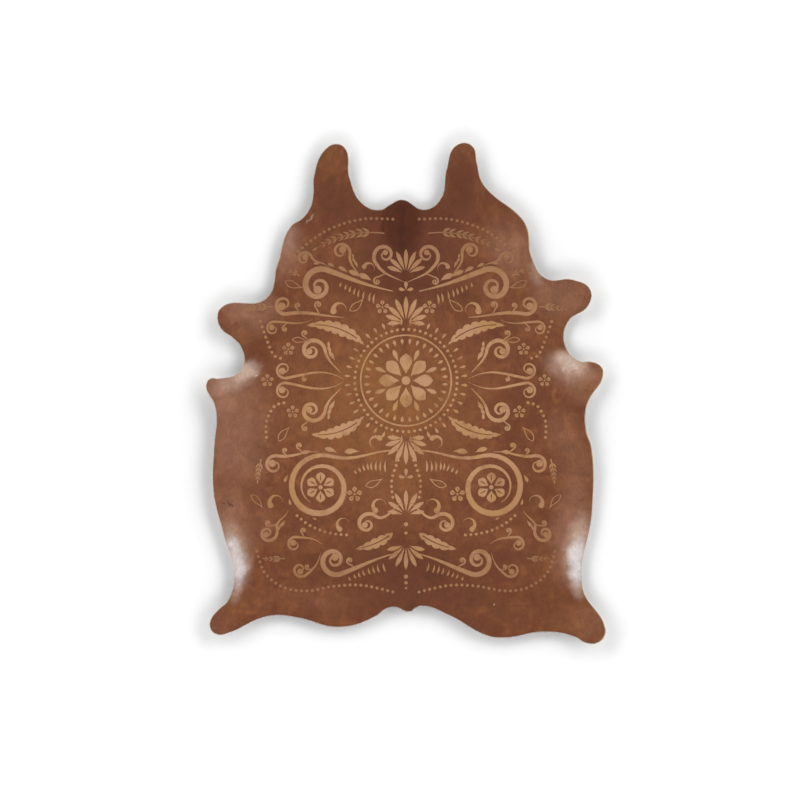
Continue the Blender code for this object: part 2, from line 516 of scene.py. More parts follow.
def loop(x, y, heading, length, width, bend, pen=5.0):
    """(outer, inner): both sides of a teardrop's outline as a pen of that width draws it."""
    line = arc(x, y, heading, length, bend, length / 24)
    widths = [width * teardrop(along) for along in shares_along(line)]
    hollow = [number for number, across in enumerate(widths) if across > 2 * pen]
    middle = slice(hollow[0], hollow[-1] + 1)
    inner = stroke((line[0][middle], line[1][middle]), [across - 2 * pen for across in widths[middle]])
    return pointed(line, lambda along: width * teardrop(along)), inner


def branch(line, along, side, reach, radius):
    """A thin tendril that leaves the line on that side, 1 for its left, and winds up there."""
    x, y, way = place_on(line, along)
    heading = way + side * 42
    far_x, far_y = beside(x, y, heading - 90, reach)
    eye = beside(far_x, far_y, heading, side * radius)
    tendril = scroll_line((x, y), way + side * 12, eye, radius, heading - side * 90, side * 1.3, 0.25)
    return [stroke(tendril, swelling(tendril, 8, start=0.6, end=0.5)), disc(*tendril[0][-1], 6.5, 12)]


def scroll(start, heading, eye, radius, entry, turns, inner, width, bulb, drops, branches):
    """A winding stem that ends in a bulb, with its branches and drops that follow its outer side."""
    line = scroll_line(start, heading, eye, radius, entry, turns, inner)
    shapes = [stroke(line, swelling(line, width, end=0.3 if bulb else 0.12))]
    if bulb:
        shapes.append(disc(*line[0][-1], bulb, 16))
    outer = -math.copysign(1, turns)
    for number in range(drops):
        x, y, way = place_on(line, 0.14 + 0.085 * number)
        size = width * (2.6 - 0.35 * number)
        root = beside(x, y, way, outer * (0.62 * width + 4))
        shapes.append(drop(*root, way + outer * 24, size, 0.36 * size, -outer * 30))
    for values in branches:
        shapes += branch(line, *values)
    return shapes


def sprig(x, y, heading, length, bend, pairs, size):
    """A stem with pairs of leaves that grow smaller towards its tip."""
    line = arc(x, y, heading, length, bend)
    shapes = [stroke(line, [7 - 4 * along for along in shares_along(line)])]
    for number in range(pairs):
        leaf_x, leaf_y, way = place_on(line, 0.22 + 0.66 * number / (pairs - 1))
        smaller = size * (1 - 0.5 * number / pairs)
        for side in (1, -1):
            shapes.append(leaf(leaf_x, leaf_y, way + side * 48, smaller, smaller * 0.3, -side * 40))
    tip_x, tip_y, way = place_on(line, 1)
    shapes.append(leaf(tip_x, tip_y, way, size * 0.7, size * 0.22))
    return shapes


def palmette(x, y, heading, size, rays, spread):
    """Drops that fan out from one point, the middle one longest."""
    shapes = []
    for number in range(rays):
        lean = (number / (rays - 1) - 0.5) * spread
        way = math.radians(heading + lean)
        reach = size * (0.484 + 0.396 * math.cos(math.radians(lean)))
        root = (x + math.cos(way) * size * 0.12, y + math.sin(way) * size * 0.12)
        shapes.append(drop(*root, heading + lean, reach, size * 0.17, lean * 0.3))
    return shapes


def rosette(x, y, radius, petals, width=0.62, inner=0.2):
    shapes = [disc(x, y, radius * inner * 0.75, 12)]
    for number in range(petals):
        heading = 90 + 360 * number / petals
        root = beside(x, y, heading - 90, radius * inner)
        shapes.append(drop(*root, heading, radius * (1 - inner), radius * width))
    return shapes


def veins(x, y, radius, petals):
    """A thin vein of hair for each petal of a rosette."""
    shapes = []
    for number in range(petals):
        heading = 90 + 360 * number / petals
        root = beside(x, y, heading - 90, radius * 0.42)
        shapes.append(leaf(*root, heading, radius * 0.42, radius * 0.07))
    return shapes


def trefoil(x, y, heading, size):
    return [drop(x, y, heading + lean, size * (1 if lean == 0 else 0.8), size * 0.4) for lean in (-78, 0, 78)]


def comb(places, number, lean, first, last):
    """Strokes that stand side by side on a line, each smaller than the one before."""
    line = line_through(places)
    shapes = []
    for step_number in range(number):
        along = step_number / (number - 1)
        x, y, way = place_on(line, along)
        size = first + (last - first) * along
        shapes.append(drop(x, y, way + lean, size, 10, math.copysign(40, lean)))
    return shapes


def round_about(x, y, reach, number):
    """Even places round a circle, each with its heading outwards."""
    for step_number in range(number):
        heading = 360 * (step_number + 0.5) / number
        yield *beside(x, y, heading - 90, reach), heading


def ring_of_drops(x, y, reach, number, length, width):
    return [drop(*place, length, width) for place in round_about(x, y, reach, number)]


def medallion(x, y, radius, ring, bead_radius):
    """(etched, kept, inside): rings, and within them a large flower that is etched again."""
    etched = [disc(x, y, radius + ring / 2, 72)]
    etched += [disc(at_x, at_y, bead_radius) for at_x, at_y, _ in round_about(x, y, radius * 1.13, 56)]
    etched += ring_of_drops(x, y, radius * 1.2, 40, 34, 13)
    kept = [disc(x, y, radius - ring / 2, 72)]
    inside = rosette(x, y, radius * 0.6, 8, 0.46, 0.22)
    inside += ring_of_drops(x, y, radius * 0.44, 8, radius * 0.3, radius * 0.1)
    inside += ring_of_drops(x, y, radius * 0.78, 32, radius * 0.15, radius * 0.07)
    return etched, kept, inside


def mirrored(shapes):
    return [[(-x, y) for x, y in shape] for shape in shapes]


def ornament(sizes):
    """(etched, kept, inside): the ornament's closed shapes, in metres.

    Hair is kept within a kept shape even where it lies in an etched one, and the shapes inside
    the medallion's ring are etched again.
    """
    pitch = sizes.bead_pitch / MILLIMETRE
    radius = sizes.bead_radius / MILLIMETRE
    etched, kept = [], []
    for x, y, heading, eye_x, eye_y, *values in SCROLLS:
        etched += scroll((x, y), heading, (eye_x, eye_y), *values)
    for values in CURLS:
        etched += curl(*values)
    for values in LOOPS:
        outer, inner = loop(*values)
        etched.append(outer)
        kept.append(inner)
    for *places, number, lean, first, last in COMBS:
        etched += comb(places, number, lean, first, last)
    for values in SPRIGS:
        etched += sprig(*values)
    for values in LEAVES:
        outline, vein = lobed_leaf(*values)
        etched.append(outline)
        kept.append(vein)
    for values in FLOWERS:
        etched += rosette(*values)
        kept += veins(*values)
    for places in STRINGS:
        etched += beads(line_through(places), pitch, radius)
    etched += mirrored(etched)
    kept += mirrored(kept)
    for along, heading, size, rays, spread in PALMETTES:
        etched += palmette(0, along, heading, size, rays, spread)
    for along, bead in SPINE_BEADS:
        etched.append(disc(0, along, bead, 12))
    for along in TREFOILS:
        etched += trefoil(0, along, 90, TREFOIL_SIZE)
    ring_sizes = (sizes.medallion / MILLIMETRE, sizes.ring / MILLIMETRE, radius)
    rings, hollow, inside = medallion(*MEDALLION, *ring_sizes)
    return in_metres(etched + rings), in_metres(kept + hollow), in_metres(inside)


def in_metres(shapes):
    return [np.array(shape) * MILLIMETRE for shape in shapes]


def ornament_rims(sizes):
    """Both ends of each straight piece of the ornament's shapes."""
    etched, kept, inside = ornament(sizes)
    shapes = etched + kept + inside
    return np.concatenate(shapes), np.concatenate([np.roll(shape, -1, axis=0) for shape in shapes])


# ---------------------------------------------------------------------------
# The hide's outline and how it lies
# ---------------------------------------------------------------------------


def edge_knots():
    """Each point of the cut edge, its rise and its bare leather, in metres."""
    rows = [(*point, rise, bare) for _, rise, bare, points in EDGE for point in points]
    return np.array(rows) * MILLIMETRE


def curved(knots, steps):
    """The smooth closed line through the knots, with that many steps between two of them."""
    curve = bpy.data.curves.new("edge", "CURVE")
    curve.dimensions = "2D"
    curve.fill_mode = "NONE"
    curve.resolution_u = steps
    spline = curve.splines.new("BEZIER")
    spline.bezier_points.add(len(knots) - 1)
    spline.use_cyclic_u = True
    for bezier_point, (across, along, *_) in zip(spline.bezier_points, knots, strict=True):
        bezier_point.co = (across, along, 0)
        bezier_point.handle_left_type = bezier_point.handle_right_type = "AUTO"
    outline = bpy.data.objects.new("edge", curve)
    bpy.context.scene.collection.objects.link(outline)
    evaluated = outline.evaluated_get(bpy.context.evaluated_depsgraph_get())
    line = np.array([vertex.co[:2] for vertex in evaluated.to_mesh().vertices])
    bpy.data.objects.remove(outline)
    bpy.data.curves.remove(curve)
    if len(line) != steps * len(knots):
        raise RuntimeError("The edge's curve has an unexpected number of points.")
    return line


def hide_edge():
    """The drawn edge, the line where its hair ends, the way out at each point, and its bare width."""
    knots = edge_knots()
    line = curved(knots, EDGE_STEPS)
    line -= (line.min(axis=0) + line.max(axis=0)) / 2
    forward = np.roll(line, -1, axis=0) - np.roll(line, 1, axis=0)
    forward /= np.linalg.norm(forward, axis=1)[:, None]
    outward = np.column_stack([-forward[:, 1], forward[:, 0]])
    places = np.arange(len(line)) / EDGE_STEPS
    bare = np.interp(places, np.arange(len(knots) + 1), np.append(knots[:, 3], knots[0, 3]))
    return line, line - outward * bare[:, None], outward, bare


def lift_at(places):
    """How far the hide stands off the floor at each place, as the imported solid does."""
    knots = edge_knots()
    line = curved(knots, EDGE_STEPS)
    knots[:, :2] -= (line.min(axis=0) + line.max(axis=0)) / 2
    # Along a straight edge the rounded lifts below, (1 - near) squared, add up to this length.
    along_straight_edge = RISE_REACH * 16 / 15
    lifted = np.zeros(len(places))
    for start, end in zip(knots, np.roll(knots, -1, axis=0), strict=True):
        piece = np.linalg.norm(end[:2] - start[:2]) / RISE_STEPS
        for step in range(RISE_STEPS):
            across, along, rise, _ = start + (end - start) * (step + 0.5) / RISE_STEPS
            near = ((places[:, 0] - across) ** 2 + (places[:, 1] - along) ** 2) / RISE_REACH**2
            lifted += rise * np.clip(1 - near, 0, None) ** 2 * piece / along_straight_edge
    return lifted


def relief_at(places, height):
    """The low waves of a hide that dried stretched: longer along the hide than across it."""
    waves = np.zeros(len(places))
    for part, across_scale, along_scale, seed in WAVES:
        for number, (across, along) in enumerate(places):
            sample = Vector((across * across_scale, along * along_scale, seed))
            waves[number] += part * noise.noise(sample)
    return height * waves


def hair_way(places):
    """Which way the hair lies at each place, as unit vectors."""
    away = places - np.array([0.0, COMBED_FROM])
    return away / np.linalg.norm(away, axis=1)[:, None]


def inner_points(edge, pitch):
    """Staggered rows of points inside the edge, clear of it."""
    rows = []
    for number, along in enumerate(np.arange(edge[:, 1].min(), edge[:, 1].max(), pitch * ROW_PITCH)):
        across = np.arange(edge[:, 0].min(), edge[:, 0].max(), pitch) + (number % 2) * pitch / 2
        rows.append(np.column_stack([across, np.full(len(across), along)]))
    points = np.concatenate(rows)
    nearest = np.full(len(points), np.inf)
    for place in edge:
        nearest = np.minimum(nearest, ((points - place) ** 2).sum(axis=1))
    return points[nearest > LOOSE_MARGIN**2]


# ---------------------------------------------------------------------------
# Making meshes
# ---------------------------------------------------------------------------


def deselect_all():
    for chosen in bpy.context.selected_objects:
        chosen.select_set(False)


def triangulated(loops, loose):
    """The plane's triangles between closed loops and loose points, and the loops round each."""
    counter_clockwise = []
    for shape in loops:
        across, along = shape[:, 0], shape[:, 1]
        twice_area = np.dot(across, np.roll(along, -1)) - np.dot(along, np.roll(across, -1))
        counter_clockwise.append(shape if twice_area > 0 else shape[::-1])
    starts = np.cumsum([0] + [len(shape) for shape in counter_clockwise])
    faces = [list(range(start, end)) for start, end in zip(starts, starts[1:])]
    corners = [Vector(corner) for corner in np.concatenate([*counter_clockwise, loose])]
    places, _, triangles, _, _, around = delaunay_2d_cdt(corners, [], faces, 1, MERGE, True)
    return np.array(places), np.array(triangles), [set(inside) for inside in around]


def is_hair(loops, first_kept, first_inside):
    """Whether a triangle inside those loops has hair: 0 is the hair's edge."""
    if 0 not in loops or any(number >= first_inside for number in loops):
        return False
    if any(number >= first_kept for number in loops):
        return True
    return loops == {0}


def new_sheet(name, places, triangles, materials):
    """An object of the triangles in the plane Z = 0, and nothing else selected."""
    used, numbers = np.unique(triangles, return_inverse=True)
    corners = np.column_stack([places[used], np.zeros(len(used))])
    mesh = bpy.data.meshes.new(name)
    mesh.from_pydata(corners.tolist(), [], numbers.reshape(triangles.shape).tolist())
    for material in materials:
        mesh.materials.append(material)
    sheet = bpy.data.objects.new(name, mesh)
    bpy.context.scene.collection.objects.link(sheet)
    deselect_all()
    sheet.select_set(True)
    bpy.context.view_layer.objects.active = sheet
    return sheet


def thicken(sheet, thickness, underside=0):
    """Gives the sheet its thickness downwards, and its underside another material."""
    solid = sheet.modifiers.new("thickness", "SOLIDIFY")
    solid.thickness = thickness
    solid.offset = -1.0
    solid.material_offset = underside
    bpy.ops.object.modifier_apply(modifier=solid.name)


def corners_of(mesh):
    corners = np.empty(len(mesh.vertices) * 3)
    mesh.vertices.foreach_get("co", corners)
    return corners.reshape(-1, 3)


def move_corners(mesh, corners):
    mesh.vertices.foreach_set("co", corners.ravel())
    mesh.update()


# The texture layout, whose own sides are 1 long.
LAYOUT_SPAN = 2.33  # metres of hide across the whole layout
LAYOUT_MARGIN = 0.005
LAYOUT_FOOT = 0.003  # metres that the foot of a wall is moved out
LAYOUT_LEVEL = 0.5  # a face is a wall if the height of its normal is less than this, up or down
LAYOUT_UNDERSIDE = 0.24  # scale of the flesh side against the hair side
LAYOUT_UNDERSIDE_CORNER = np.array([0.805, 0.01])


def on_layout(plan):
    """Where places of the hair side lie on the texture layout."""
    return (plan - np.array(CAD_BOX[0][:2])) / LAYOUT_SPAN + LAYOUT_MARGIN


def lay_out_texture(mesh):
    """A flat texture layout: the hair side at full size, the flesh side small beside it.

    A wall stands on the plan's line, so in the layout its foot is moved out a little.
    """
    corners = corners_of(mesh)
    faces = len(mesh.polygons)
    normals = np.empty(faces * 3)
    sides = np.empty(faces, dtype=int)
    corner_numbers = np.empty(len(mesh.loops), dtype=int)
    mesh.polygons.foreach_get("normal", normals)
    mesh.polygons.foreach_get("loop_total", sides)
    mesh.loops.foreach_get("vertex_index", corner_numbers)
    facing = np.repeat(normals.reshape(-1, 3), sides, axis=0)
    places = corners[corner_numbers]
    plan = places[:, :2].copy()
    wall = np.abs(facing[:, 2]) < LAYOUT_LEVEL
    foot = wall & (places[:, 2] < corners[:, 2].mean())
    plan[foot] += facing[foot, :2] * LAYOUT_FOOT
    spots = on_layout(plan)
    under = facing[:, 2] < -LAYOUT_LEVEL
    spots[under] = (spots[under] - LAYOUT_MARGIN) * LAYOUT_UNDERSIDE + LAYOUT_UNDERSIDE_CORNER
    layer = mesh.uv_layers.new(name="OFBake")
    layer.data.foreach_set("uv", spots.ravel())


def hairs(name, roots, ways, lengths, width, material):
    """Fine closed spikes, one for each root, pointing its way."""
    upright = np.array([0.0, 0.0, 1.0])
    ways = ways / np.linalg.norm(ways, axis=1)[:, None]
    across = np.cross(ways, upright)
    across /= np.linalg.norm(across, axis=1)[:, None]
    over = np.cross(across, ways)
    corners = np.stack(
        [
            roots + across * width / 2,
            roots - across * width / 2,
            roots + over * width * HAIR_DEPTH,
            roots + ways * lengths[:, None],
        ],
        axis=1,
    ).reshape(-1, 3)
    faces = np.array([[0, 1, 2], [0, 3, 1], [1, 3, 2], [2, 3, 0]])
    numbers = (faces[None] + 4 * np.arange(len(roots))[:, None, None]).reshape(-1, 3)
    mesh = bpy.data.meshes.new(name)
    mesh.from_pydata(corners.tolist(), [], numbers.tolist())
    mesh.materials.append(material)
    piece = bpy.data.objects.new(name, mesh)
    bpy.context.scene.collection.objects.link(piece)
    layer = mesh.uv_layers.new(name="OFBake")
    layer.data.foreach_set("uv", on_layout(corners[numbers.ravel(), :2]).ravel())
    return piece


HAIR_PIECES = ("hair_coat", "edge_hairs", "ornament_hairs")


def add_to_rug(piece):
    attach(piece, "root")


# ---------------------------------------------------------------------------
# Shader nodes
# ---------------------------------------------------------------------------


def add_node(tree, kind, settings=None, sockets=None, output=0):
    """A new node with its settings, then its sockets' values or links, as the Wire of an output."""
    node = tree.nodes.new(kind)
    for name, value in (settings or {}).items():
        setattr(node, name, value)
    for name, value in (sockets or {}).items():
        if isinstance(value, Wire):
            tree.links.new(value.socket, node.inputs[name])
        else:
            node.inputs[name].default_value = value
    return Wire(node.outputs[output])


class Wire:
    """What an output socket carries: arithmetic on it adds Math nodes."""

    def __init__(self, socket):
        self.socket = socket
        self.tree = socket.id_data

    def math(self, operation, first, second):
        return add_node(self.tree, "ShaderNodeMath", {"operation": operation}, {0: first, 1: second})

    def __add__(self, other):
        return self.math("ADD", self, other)

    __radd__ = __add__

    def __sub__(self, other):
        return self.math("SUBTRACT", self, other)

    def __rsub__(self, other):
        return self.math("SUBTRACT", other, self)

    def __mul__(self, other):
        return self.math("MULTIPLY", self, other)

    __rmul__ = __mul__

    def smooth(self, low, high):
        """0 up to low and 1 from high, smoothly between; low may be the higher one."""
        return add_node(
            self.tree,
            "ShaderNodeMapRange",
            {"interpolation_type": "SMOOTHSTEP"},
            {"Value": self, "From Min": low, "From Max": high},
        )


def mixed(mask, below, above):
    """A colour that goes from below to above with the mask."""
    return add_node(
        mask.tree, "ShaderNodeMix", {"data_type": "RGBA"}, {0: mask, 6: opaque(below), 7: opaque(above)}, 2
    )


def opaque(tone):
    return tone if isinstance(tone, Wire) else (*tone, 1.0)


def vector_math(operation, *terms, output=0):
    """A Vector Math node of the terms, of which the first is a Wire."""
    sockets = dict(enumerate(terms))
    return add_node(terms[0].tree, "ShaderNodeVectorMath", {"operation": operation}, sockets, output)


def scaled(vector, factor):
    """A colour or vector times a number."""
    return add_node(vector.tree, "ShaderNodeVectorMath", {"operation": "SCALE"}, {0: vector, "Scale": factor})


def noise_at(vector, scale, detail=2.0, roughness=0.5, distortion=0.0, output=0):
    """Noise of that many features per metre; output 0 is a number and 1 a colour."""
    sockets = {
        "Vector": vector,
        "Scale": scale,
        "Detail": detail,
        "Roughness": roughness,
        "Distortion": distortion,
    }
    return add_node(vector.tree, "ShaderNodeTexNoise", None, sockets, output)


def shifted(vector, scale, amount):
    """The vector pushed about by noise, so that what is drawn at it gets an uneven edge."""
    push = noise_at(vector, scale, 2.0, 0.55, output=1)
    whole = (amount,) * 3
    half = (amount / 2,) * 3
    start = vector_math("SUBTRACT", vector, half)
    return vector_math("MULTIPLY_ADD", push, whole, start)


def spot(vector, across, along, half_width, half_length, turn, softness):
    """1 within an oval on the hide and 0 outside it, in millimetres and degrees."""
    sockets = {
        "Vector": vector,
        "Location": (across * MILLIMETRE, along * MILLIMETRE, 0.0),
        "Rotation": (0.0, 0.0, math.radians(turn)),
        "Scale": (half_width * MILLIMETRE, half_length * MILLIMETRE, 1.0),
    }
    inside = add_node(vector.tree, "ShaderNodeMapping", {"vector_type": "TEXTURE"}, sockets)
    distance = vector_math("LENGTH", inside, output=1)
    return distance.smooth(1.0, 1.0 - softness)


def new_material(name, **constants):
    """A material, its shader node and the Wire of its Object coordinates."""
    material = bpy.data.materials.new(name)
    material.use_nodes = True
    tree = material.node_tree
    shader = tree.nodes["Principled BSDF"]
    for socket, value in constants.items():
        shader.inputs[socket.replace("_", " ")].default_value = value
    place = add_node(tree, "ShaderNodeTexCoord", output=3)
    return material, shader, place


def feed(shader, socket, wire):
    shader.id_data.links.new(wire.socket, shader.inputs[socket])


def bump(height, strength, distance):
    return add_node(
        height.tree, "ShaderNodeBump", None, {"Strength": strength, "Distance": distance, "Height": height}
    )


# Where the hair differs from the coat's own colour: name, across, along, half width,
# half length, turn, softness, colour, strength. The later ones lie over the earlier.
HAIR_SPOTS = (
    ("warm back", -90, -60, 660, 640, 0, 0.9, "gold", 0.9),
    ("warm shank, right", 800, -1050, 180, 130, 0, 0.8, "gold", 0.4),
    ("rosy shank, right", 840, -1050, 160, 130, 0, 0.8, "pale", 0.2),
    ("rosy shank, left", -860, -1080, 120, 90, 0, 0.8, "pale", 0.2),
    ("neck", 0, 800, 440, 330, 0, 0.8, "ruddy", 1.0),
    ("withers", 0, 540, 430, 210, 0, 0.8, "ruddy", 0.8),
    ("left withers", -370, 520, 190, 130, 0, 0.9, "ruddy", 0.6),
    ("rump", 0, -820, 640, 260, 0, 0.9, "ruddy", 0.85),
    ("tail", 30, -980, 560, 170, 0, 0.9, "ruddy", 0.55),
    ("rosy rump", -400, -940, 240, 100, 0, 0.9, "pale", 0.1),
    ("right cheek", 262, 970, 100, 220, 0, 0.8, "ruddy", 0.75),
    ("left cheek", -326, 880, 110, 150, 0, 0.8, "ruddy", 0.7),
    ("left elbow", -661, 205, 70, 80, 0, 0.9, "ruddy", 0.5),
    # The pale spots on shoulders, forelegs, ribs, sides, belly and thighs below are paler hair with painted
    # sheen on it.
    ("right shoulder", 490, 670, 170, 210, 20, 0.9, "pale", 0.65),
    ("left shoulder", -548, 640, 112, 165, -22, 0.9, "pale", 0.8),
    ("left shoulder's edge", -545, 710, 70, 120, -20, 0.9, "cream", 0.2),
    ("left cheek's tip", -345, 1080, 90, 110, 0, 0.9, "gold", 0.35),
    ("right foreleg", 760, 430, 190, 130, 0, 0.9, "pale", 0.55),
    ("under the right foreleg", 650, 490, 130, 150, 0, 0.9, "pale", 0.5),
    ("right armpit, upper side", 596, 556, 46, 84, 14, 0.9, "cream", 0.4),
    ("left foreleg", -730, 380, 210, 140, 0, 0.9, "pale", 0.85),
    ("right ribs", 706, -170, 120, 160, 0, 0.9, "pale", 0.3),
    ("right side", 786, -360, 140, 250, 0, 0.9, "pale", 0.36),
    ("left side", -790, -180, 240, 440, 0, 0.9, "pale", 0.65),
    ("right belly", 800, 70, 190, 140, 0, 0.8, "pale", 0.6),
    ("left belly", -830, 20, 180, 140, 25, 0.8, "pale", 0.9),
    ("right thigh", 760, -640, 140, 300, -6, 0.9, "pale", 0.7),
    ("left thigh", -800, -620, 140, 270, 12, 0.9, "pale", 0.75),
    ("right belly's edge", 836, 40, 80, 100, 0, 0.9, "gold", 0.5),
    ("left flank, inner side", -661, -581, 100, 160, 0, 0.9, "pale", 0.15),
    ("lower neck", -10, 600, 300, 200, 0, 0.9, "dark", 0.16),
    ("crest", -18, 806, 112, 220, 0, 0.45, "dark", 0.54),
    ("crest's top", -20, 860, 80, 60, 0, 0.9, "dark", 0.2),
    ("crest line", -20, 806, 26, 220, 0, 0.9, "dark", 0.36),
    ("spine", -8, 330, 40, 330, 0, 0.95, "dark", 0.35),
    ("left parting", -106, 770, 7, 95, -2, 0.8, "dark", 0.5),
    ("right armpit, around", 746, 120, 160, 96, -20, 1.0, "cream", 0.5),
    ("right armpit", 754, 142, 104, 64, -20, 0.9, "cream", 1.0),
    ("left armpit, around", -780, 70, 160, 78, 26, 1.0, "cream", 0.5),
    ("left armpit", -728, 104, 84, 62, 20, 0.9, "cream", 0.95),
    ("right flank patch, cream", 785, -704, 84, 210, -11.6, 1.0, "cream", 1.0),
    ("right flank patch, tip", 784, -880, 52, 92, 16, 1.0, "cream", 0.6),
    ("left flank patch, cream", -790, -744, 96, 200, 10, 1.0, "cream", 0.95),
    ("right flank patch, white", 784, -738, 58, 106, -6, 0.85, "white", 0.95),
    ("right flank patch, low", 782, -822, 48, 84, 10, 0.9, "white", 0.85),
    ("left flank patch, top", -800, -694, 54, 66, 14, 0.9, "white", 0.7),
    ("left flank patch, white", -774, -764, 58, 92, 6, 0.85, "white", 0.72),
    ("left flank patch, low", -768, -836, 40, 92, -4, 0.9, "white", 0.6),
    ("left flank patch, tip", -778, -912, 46, 76, -20, 1.0, "cream", 0.4),
    ("right armpit, white", 744, 150, 70, 44, -20, 1.0, "white", 0.12),
)
SMALL_SPOT = 130  # millimetres; a spot whose smaller half is less keeps its place closely

# Small marks on the hair, some of them painted glints: across, along, half width, half length, turn, colour,
# strength.
MARKS = (
    (-812, -505, 7, 24, 40, "dark", 0.75),
    (-796, -512, 7, 20, 28, "dark", 0.65),
    (-834, -506, 6, 16, 62, "dark", 0.45),
    (806, -487, 11, 13, 0, "dark", 0.6),
    (806, -486, 4, 6, 0, "pale", 0.8),
    (408, -966, 6, 6, 0, "cream", 0.7),
    # A painted glint on a crease at the left armpit.
    (-684, 85, 5, 18, -45, "white", 0.9),
    # Scuffs by the left shoulder.
    (-432, 808, 6, 28, -32, "cream", 0.6),
    (-452, 792, 6, 20, -40, "cream", 0.5),
    # Painted glints on the right armpit's wrinkles, with a stroke of the coat's colour between two of them.
    (756, 126, 5, 30, -66, "white", 0.45),
    (782, 118, 5, 22, -50, "white", 0.4),
    (767, 104, 5, 24, -52, "coat", 0.45),
    (724, 116, 5, 24, -30, "white", 0.35),
)


# The oval where the ornament is etched cleanest: its place, half sizes, turn and softness.
# Towards the oval's edge more and more stubble remains.
CLEAN_ETCHING = (0, -120, 1200, 1100, 0, 0.65)

# Where painted shade darkens the thin hairs at the cut edge, in the same terms, and by how much.
PAINTED_EDGE_SHADE_PLACE = (0, 1000, 760, 640, 0, 0.5)
PAINTED_EDGE_SHADE_DEPTH = 0.6


def combed(place):
    """Coordinates in metres across the hair and along it."""
    across = add_node(place.tree, "ShaderNodeSeparateXYZ", None, {0: place})
    along = Wire(across.socket.node.outputs["Y"])
    behind = COMBED_FROM - along
    angle = across.math("ARCTAN2", across, behind)
    reach = across.math("POWER", across * across + behind * behind, 0.5)
    return angle * COMBED_TRUE, reach


def hair_strands(combed_place, across_per_metre, along_per_metre, detail=1.0, distortion=0.0):
    """Noise drawn out along the hair, so many features per metre each way."""
    across, along = combed_place
    sockets = {0: across * across_per_metre, 1: along * along_per_metre}
    vector = add_node(across.tree, "ShaderNodeCombineXYZ", None, sockets)
    return noise_at(vector, 1.0, detail, 0.5, distortion)


def hair_material(name, colours, painted_edge_shade=0.0):
    """The short hair; where painted shade darkens the edge, it loses that share of its brightness."""
    material, shader, place = new_material(
        name,
        Sheen_Weight=0.08,
        Sheen_Roughness=0.5,
        Sheen_Tint=(0.85, 0.58, 0.42, 1.0),
        IOR=1.45,
        Specular_IOR_Level=0.15,
    )
    combed_place = combed(place)
    strands = hair_strands(combed_place, 900.0, 60.0)
    locks = hair_strands(combed_place, 130.0, 40.0, 2.0)
    smears = hair_strands(combed_place, 20.0, 14.0, 4.0, 0.8)
    clouds = noise_at(place, 2.6, 4.0, 0.6)
    stains = noise_at(place, 8.0, 5.0, 0.62, 0.6)
    blotches = noise_at(place, 26.0, 3.0, 0.6, 0.3)
    tone = mixed(clouds.smooth(0.36, 0.64) * 0.5, colours.coat, colours.ruddy)
    tone = mixed(stains.smooth(0.44, 0.66) * 0.75, tone, colours.ruddy)
    tone = mixed(smears.smooth(0.46, 0.74) * 0.45, tone, colours.gold)
    ragged = shifted(place, 22.0, 0.035)
    uneven = shifted(ragged, 3.0, 0.16)
    # A spot is stronger where the stains and smears are.
    patchy = 0.5 + 0.5 * stains + 0.5 * smears
    for _, across, along, half_width, half_length, turn, softness, hue, strength in HAIR_SPOTS:
        drawn_at = ragged if min(half_width, half_length) < SMALL_SPOT else uneven
        mask = spot(drawn_at, across, along, half_width, half_length, turn, softness)
        tone = mixed(mask * strength * patchy, tone, tuple(getattr(colours, hue)))
    for across, along, half_width, half_length, turn, hue, strength in MARKS:
        mask = spot(ragged, across, along, half_width, half_length, turn, 0.9)
        tone = mixed(mask * strength, tone, tuple(getattr(colours, hue)))
    # Each layer of the mottling has its share in how bright the hair is.
    shade = 0.36 * blotches + 0.34 * smears + 0.44 * strands + 0.4 * locks + 0.66 * stains - 0.13
    # Painted shade: the hairs at the cut edge are darker round the neck.
    if painted_edge_shade:
        shade = shade * (1.0 - painted_edge_shade * spot(place, *PAINTED_EDGE_SHADE_PLACE))
    feed(shader, "Base Color", scaled(tone, shade))
    feed(shader, "Roughness", 0.52 + 0.22 * locks)
    feed(shader, "Normal", bump(strands * 0.8 + locks, 0.5, 0.0008))
    return material


def etched_material(colours):
    """Leather singed bare, with stubble left in it out towards the sides."""
    material, shader, place = new_material("etched_leather", Sheen_Weight=0.05, Specular_IOR_Level=0.3)
    stubble = hair_strands(combed(place), 420.0, 90.0, 2.0)
    worn = noise_at(place, 9.0, 6.0, 0.7)
    pores = noise_at(place, 700.0, 2.0)
    burnt = noise_at(place, 5.0, 3.0, 0.6)
    clean = spot(place, *CLEAN_ETCHING) * (1.0 - 0.7 * worn.smooth(0.46, 0.68))
    tone = mixed(clean, colours.stubble, mixed(burnt.smooth(0.44, 0.62), colours.etched, colours.tan))
    tone = mixed(stubble.smooth(0.55, 0.8) * 0.45, tone, colours.stubble)
    feed(shader, "Base Color", scaled(tone, 0.76 + 0.28 * pores + 0.2 * worn))
    feed(shader, "Roughness", 0.62 + 0.2 * pores)
    feed(shader, "Normal", bump(pores + 0.6 * stubble, 0.4, 0.0003))
    return material


def cut_material(colours):
    """The fibrous leather that the knife laid open."""
    material, shader, place = new_material("cut_leather", Specular_IOR_Level=0.3)
    fibres = noise_at(place, 900.0, 3.0)
    stains = noise_at(place, 18.0, 3.0)
    tone = mixed(stains.smooth(0.42, 0.7) * 0.5, colours.cut, colours.stubble)
    feed(shader, "Base Color", scaled(tone, 0.85 + 0.3 * fibres))
    feed(shader, "Roughness", 0.7 + 0.2 * fibres)
    feed(shader, "Normal", bump(fibres, 0.5, 0.0003))
    return material


